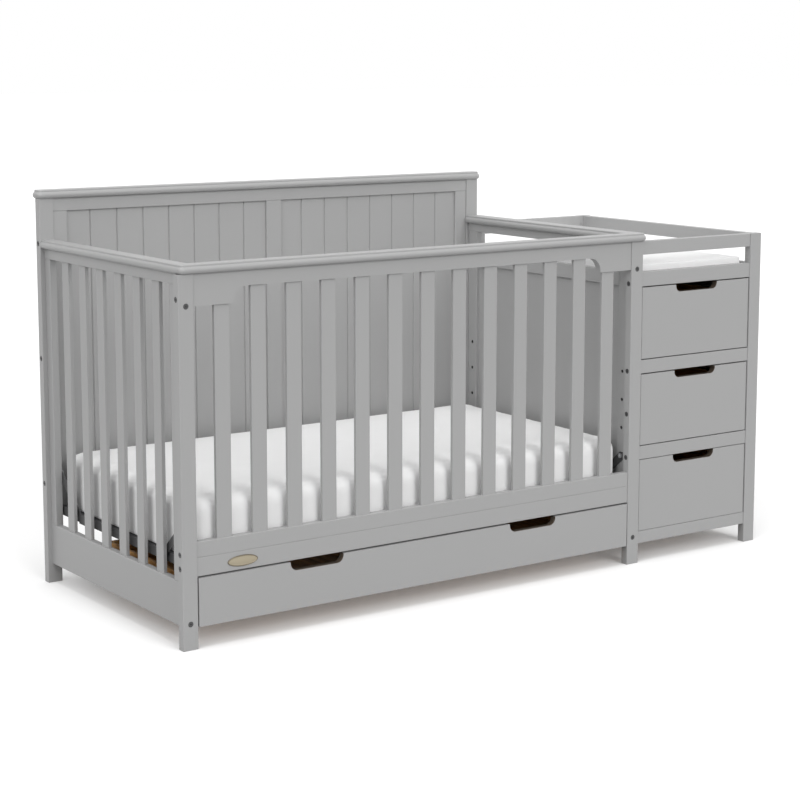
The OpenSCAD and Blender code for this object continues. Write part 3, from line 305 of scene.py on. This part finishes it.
def drawer_front_paint(front, apart):
    """The paint of a drawer front, with a dark brown painted shade on its finger cut-outs'
    walls.
    """
    material = FINISHES["painted_wood"].copy()
    material.name = "Paint of " + front
    tree = material.node_tree
    shader = tree.nodes["Principled BSDF"]
    low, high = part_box(front)
    walls = place(tree, CUT_WALLS, Middle=(low.x + high.x) / 2, Apart=apart,
                  Half_width=CUT_HALF, Low=high.z - CUT_DEEP)
    paint = shader.inputs["Base Color"].links[0].from_socket
    # The cut-outs' walls get the dark brown painted shade
    tree.links.new(blend(tree, walls["Mask"], paint, CUT_PAINTED_SHADE),
                   shader.inputs["Base Color"])
    return material


def woven(name, colour, shade, thread):
    """A soft white cover."""
    material, tree, shader = new_material(name)
    weave = place(tree, WEAVE, Colour=(*colour, 1), Shade=(*shade, 1), Thread=thread)
    tree.links.new(weave["Colour"], shader.inputs["Base Color"])
    shader.inputs["Roughness"].default_value = 0.85
    shader.inputs["Specular IOR Level"].default_value = 0.25
    shader.inputs["Sheen Weight"].default_value = 0.15
    shader.inputs["Sheen Roughness"].default_value = 0.5
    bump(tree, weave["Height"], 0.0003, 0.25, shader)
    return material


def stained(name):
    """The clear-coated amber wood of the drawer boxes."""
    material, tree, shader = new_material(name)
    grain = place(tree, GRAIN, Light=(*AMBER_LIGHT, 1), Dark=(*AMBER_DARK, 1))
    tree.links.new(grain["Colour"], shader.inputs["Base Color"])
    tree.links.new(grain["Roughness"], shader.inputs["Roughness"])
    bump(tree, grain["Height"], 0.0004, 0.3, shader)
    return material


FINISHES = {
    "painted_wood": coated("Pale grey paint", PAINT_GREY, roughness=0.42, patches=0.03,
                           peel=600.0, depth=0.0002),
    "drawer_wood": stained("Amber drawer wood"),
    "black_steel": coated("Black powder coat", COAT_BLACK, roughness=0.45, patches=0.1,
                          peel=900.0, depth=0.0003),
    "zinc_steel": coated("Zinc plate", ZINC, roughness=0.34, patches=0.08,
                         peel=700.0, depth=0.0001, metallic=1.0),
    "mattress_cover": woven("Mattress cover", COVER_WHITE, COVER_SHADE, thread=0.0018),
    "pad_cover": woven("Pad cover", PAD_WHITE, COVER_SHADE, thread=0.0014),
}

CUT_WALLS = cut_wall_group()
# How far the finger cut-outs of each drawer front are from its middle
CUTS_APART = {"under_drawer_front": 0.3345, "top_drawer_front": 0.0,
              "middle_drawer_front": 0.0, "lower_drawer_front": 0.0}

for part in frame["record"]["subparts"]:
    mesh = frame["nodes"][part["node"]].data
    mesh.materials.clear()
    if part["node"] in CUTS_APART:
        finish = drawer_front_paint(part["node"], CUTS_APART[part["node"]])
    else:
        finish = FINISHES[part["material_slot"]]
    mesh.materials.append(finish)


# Soft pieces ------------------------------------------------------------------------


def add_piece(name, mesh, body):
    """A piece of the object that rides on a body."""
    piece = bpy.data.objects.new(name, mesh)
    bpy.context.scene.collection.objects.link(piece)
    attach(piece, body)
    return piece


def rounded_outline(half_x, half_y, corner, steps):
    """Points of a rounded rectangle, counter-clockwise."""
    points = []
    for quarter in range(4):
        side_x = 1 if quarter in (0, 3) else -1
        side_y = 1 if quarter < 2 else -1
        centre = Vector((side_x * (half_x - corner), side_y * (half_y - corner)))
        for step in range(steps + 1):
            angle = math.radians(90 * (quarter + step / steps))
            points.append(centre + corner * Vector((math.cos(angle), math.sin(angle))))
    return points


def cut_pad(centre, half_x, half_y, low, high, corner, low_edge, top_edge):
    """The block that a cover is filled from: round corners and rolled edges."""
    turns = [math.radians(90 * step / EDGE_STEPS) for step in range(EDGE_STEPS + 1)]
    curve = [(1 - math.sin(turn), 1 - math.cos(turn)) for turn in turns]
    rows = [(low_edge * aside, low + low_edge * rise) for aside, rise in curve]
    rows += [(top_edge * aside, high - top_edge * rise) for aside, rise in reversed(curve)]
    work = bmesh.new()
    rings = []
    for inset, height in rows:
        outline = rounded_outline(half_x - inset, half_y - inset,
                                  max(corner - inset, corner * 0.3), CORNER_STEPS)
        rings.append([work.verts.new((centre.x + p.x, centre.y + p.y, height))
                      for p in outline])
    for lower, upper in zip(rings, rings[1:]):
        for here in range(len(lower)):
            beside = (here + 1) % len(lower)
            work.faces.new((lower[here], lower[beside], upper[beside], upper[here]))
    work.faces.new(list(reversed(rings[0])))
    work.faces.new(rings[-1])
    mesh = bpy.data.meshes.new("filled cover")
    work.to_mesh(mesh)
    work.free()
    return mesh


def fill_cover(piece, most):
    """Blows the cover up like a filling does; no point moves further than most."""
    before = [vertex.co.copy() for vertex in piece.data.vertices]
    cloth = piece.modifiers.new("Cloth", "CLOTH")
    cloth.settings.use_pressure = True
    cloth.settings.uniform_pressure_force = FILL_PRESSURE
    cloth.settings.effector_weights.gravity = 0
    for step in range(1, FILL_FRAMES + 1):
        bpy.context.scene.frame_set(step)
    filled = piece.evaluated_get(bpy.context.evaluated_depsgraph_get()).data
    moved = [vertex.co.copy() for vertex in filled.vertices]
    piece.modifiers.remove(cloth)
    bpy.context.scene.frame_set(1)
    for vertex, old, new in zip(piece.data.vertices, before, moved):
        move = new - old
        if move.length > most:
            move *= most / move.length
        vertex.co = old + move


def shape_cover(mesh, low, high, crown, pull, wave, bottom):
    """Crowns the top, draws the sides in between the corners and flattens the bottom."""
    middle = (low + high) / 2
    half = (high - low) / 2
    for vertex in mesh.vertices:
        off = vertex.co - middle
        along = min(abs(off.x) / half.x, 1)
        across = min(abs(off.y) / half.y, 1)
        off.x *= 1 - pull * (1 - across ** 2) * along / half.x
        off.y *= 1 - pull * (1 - along ** 2) * across / half.y
        rise = max(off.z / half.z, 0)
        off.z += rise * crown * (1 - along ** 2) * (1 - across ** 2)
        moved = middle + off
        moved.z += rise * wave * noise.noise(moved * WAVE_SCALE)
        moved.z = max(moved.z, bottom)
        vertex.co = moved


def soft_piece(name, source, body, slot, voxel, inset, drop, swell, corner, low_edge,
               top_edge, crown, pull, wave):
    """A padded piece in the place of its solid: a block that swells as it is filled."""
    low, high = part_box(source)
    start_low = low + Vector((inset, inset, 0))
    start_high = high - Vector((inset, inset, drop))
    half = (start_high - start_low) / 2
    mesh = cut_pad((low + high) / 2, half.x, half.y, start_low.z, start_high.z,
                   corner, low_edge, top_edge)
    piece = add_piece(name, mesh, body)
    remesh = piece.modifiers.new("Remesh", "REMESH")
    remesh.mode = "VOXEL"
    remesh.voxel_size = voxel
    graph = bpy.context.evaluated_depsgraph_get()
    even = bpy.data.meshes.new_from_object(piece.evaluated_get(graph))
    piece.modifiers.remove(remesh)
    piece.data = even
    fill_cover(piece, swell)
    shape_cover(even, low, high, crown, pull, wave, low.z)
    even.materials.clear()
    even.materials.append(FINISHES[slot])
    for polygon in even.polygons:
        polygon.use_smooth = True
    smooth = piece.modifiers.new("Subdivision", "SUBSURF")
    smooth.levels = 1
    smooth.render_levels = 1
    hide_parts(source)
    return piece


soft_piece("mattress_cover", "mattress", "mattress", "mattress_cover", voxel=0.008,
           inset=0.002, drop=0.003, swell=0.003, corner=0.050, low_edge=0.003,
           top_edge=0.030, crown=0.002, pull=0.001, wave=0.0012)
soft_piece("pad_cover", "changing_pad", "pad", "pad_cover", voxel=0.004,
           inset=0.0, drop=0.002, swell=0.001, corner=0.006, low_edge=0.004,
           top_edge=0.004, crown=0.001, pull=0.0, wave=0.0003)


# Badge ------------------------------------------------------------------------------


def oval(half_x, half_z, count):
    """Points of an oval round the origin."""
    return [(half_x * math.cos(2 * math.pi * i / count),
             half_z * math.sin(2 * math.pi * i / count)) for i in range(count)]


def blank_badge():
    """A plain oval plate on the apron: a raised rim round a slightly domed field."""
    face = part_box("front_apron")[0].y
    # Each row is the inset from the outline, the height off the apron, and 1 on the field
    rows = [(0.0, -0.0002, 0), (0.0, 0.0016, 0), (0.0006, 0.0024, 0),
            (0.0014, 0.0026, 0), (0.0022, 0.0022, 0), (0.0026, 0.0013, 0),
            (0.0040, 0.0014, 1), (0.0070, 0.0019, 1), (0.0105, 0.0022, 1)]
    work = bmesh.new()
    rings = []
    for inset, height, field in rows:
        rings.append([
            work.verts.new((BADGE_X + x, face - height, BADGE_Z + z))
            for x, z in oval(BADGE_LONG / 2 - inset, BADGE_HIGH / 2 - inset, BADGE_STEPS)])
    for row, (lower, upper) in enumerate(zip(rings, rings[1:])):
        for here in range(BADGE_STEPS):
            beside = (here + 1) % BADGE_STEPS
            side = work.faces.new((lower[here], lower[beside], upper[beside], upper[here]))
            side.material_index = rows[row + 1][2]
            side.smooth = True
    middle = work.faces.new(rings[-1])
    middle.material_index = 1
    middle.smooth = True
    work.faces.new(list(reversed(rings[0])))
    mesh = bpy.data.meshes.new("blank badge")
    work.to_mesh(mesh)
    work.free()
    mesh.materials.append(coated("Aged bronze", BRONZE, roughness=0.35, patches=0.25,
                                 peel=900.0, depth=0.0002, metallic=1.0))
    mesh.materials.append(coated("Champagne field", CHAMPAGNE, roughness=0.4,
                                 patches=0.15, peel=900.0, depth=0.0001))
    add_piece("blank_badge", mesh, "frame")


blank_badge()


# Height inserts ---------------------------------------------------------------------


def height_inserts():
    """A black sleeve in each blind hole for the mattress support's four heights."""
    # Each row is the radius and the depth below the stile's face
    profile = [(0.00465, INSERT_DEPTH), (0.00465, 0.0006), (0.0045, 0.0003),
               (0.0038, 0.0003), (0.0034, 0.0009), (0.0034, INSERT_DEPTH)]
    work = bmesh.new()
    for stile, inner, way in (("left_end_stiles", 1, -1), ("shared_end_stiles", 0, 1)):
        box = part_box(stile)
        face = box[inner].x
        for side in (box[0].y + INSERT_IN, box[1].y - INSERT_IN):
            for step in range(INSERTS):
                height = INSERT_LOW + step * INSERT_STEP
                rings = []
                for radius, depth in profile:
                    rings.append([
                        work.verts.new((face + way * depth, side + y, height + z))
                        for y, z in oval(radius, radius, INSERT_SIDES)])
                for first, second in zip(rings, rings[1:] + rings[:1]):
                    for here in range(INSERT_SIDES):
                        beside = (here + 1) % INSERT_SIDES
                        work.faces.new((first[here], first[beside],
                                        second[beside], second[here]))
    bmesh.ops.recalc_face_normals(work, faces=work.faces)
    mesh = bpy.data.meshes.new("height inserts")
    work.to_mesh(mesh)
    work.free()
    mesh.materials.append(FINISHES["black_steel"])
    add_piece("height_inserts", mesh, "frame")


height_inserts()


# Floor, light and camera ------------------------------------------------------------


def seen_directly(tree):
    """1 where the camera, a reflection or a clear piece sees the surface, else 0."""
    path = node(tree, "LightPath").outputs
    return maths(tree, "MAXIMUM", path["Is Camera Ray"],
                 maths(tree, "MAXIMUM", path["Is Glossy Ray"], path["Is Transmission Ray"]))


def white_floor(seen_tone, seen_glow, lit_tone):
    """A pale floor that reaches the horizon; its glow is only for what sees it directly."""
    material, tree, shader = new_material("Pale floor")
    seen = seen_directly(tree)
    tree.links.new(blend(tree, seen, (lit_tone,) * 3, (seen_tone,) * 3),
                   shader.inputs["Base Color"])
    shader.inputs["Roughness"].default_value = 0.9
    shader.inputs["Specular IOR Level"].default_value = 0.0
    shader.inputs["Emission Color"].default_value = (1, 1, 1, 1)
    tree.links.new(maths(tree, "MULTIPLY", seen, seen_glow),
                   shader.inputs["Emission Strength"])
    work = bmesh.new()
    bmesh.ops.create_grid(work, x_segments=1, y_segments=1, size=FLOOR_REACH)
    mesh = bpy.data.meshes.new("floor")
    work.to_mesh(mesh)
    work.free()
    mesh.materials.append(material)
    floor = bpy.data.objects.new("floor", mesh)
    floor.location.z = -FLOOR_DROP
    bpy.context.scene.collection.objects.link(floor)


def white_world(light):
    """Even light from all round, and pure white where something sees it directly."""
    world = bpy.data.worlds.new("Studio")
    bpy.context.scene.world = world
    world.use_nodes = True
    tree = world.node_tree
    strength = node(tree, "Mix", {0: seen_directly(tree), 2: light, 3: 1.0},
                    data_type="FLOAT").outputs[0]
    tree.links.new(strength, tree.nodes["Background"].inputs["Strength"])
    tree.nodes["Background"].inputs["Color"].default_value = (1, 1, 1, 1)


def soft_sun(name, strength, tilt, turn, spread):
    """A lamp far away; tilt is from straight above, and turn is its compass side."""
    lamp = bpy.data.lights.new(name, "SUN")
    lamp.energy = strength
    lamp.angle = math.radians(spread)
    sun = bpy.data.objects.new(name, lamp)
    sun.rotation_euler = (math.radians(tilt), 0, math.radians(turn))
    bpy.context.scene.collection.objects.link(sun)


white_floor(seen_tone=0.87, seen_glow=0.13, lit_tone=0.35)
white_world(0.6)
soft_sun("Overhead", strength=0.85, tilt=4, turn=0, spread=32)
soft_sun("Front", strength=1.2, tilt=64, turn=2, spread=32)
soft_sun("Left", strength=1.1, tilt=55, turn=-65, spread=50)

camera_data = bpy.data.cameras.new("Camera")
camera_data.sensor_width = 36.0
camera_data.lens = CAMERA_LENS
camera_data.shift_y = CAMERA_SHIFT
camera_data.clip_end = 200.0
camera = bpy.data.objects.new("Camera", camera_data)
camera.location = CAMERA_PLACE
camera.rotation_euler = (math.radians(CAMERA_TILT), 0, math.radians(CAMERA_TURN))
bpy.context.scene.collection.objects.link(camera)
bpy.context.scene.camera = camera
bpy.context.scene.view_settings.view_transform = "Standard"

bpy.context.view_layer.update()
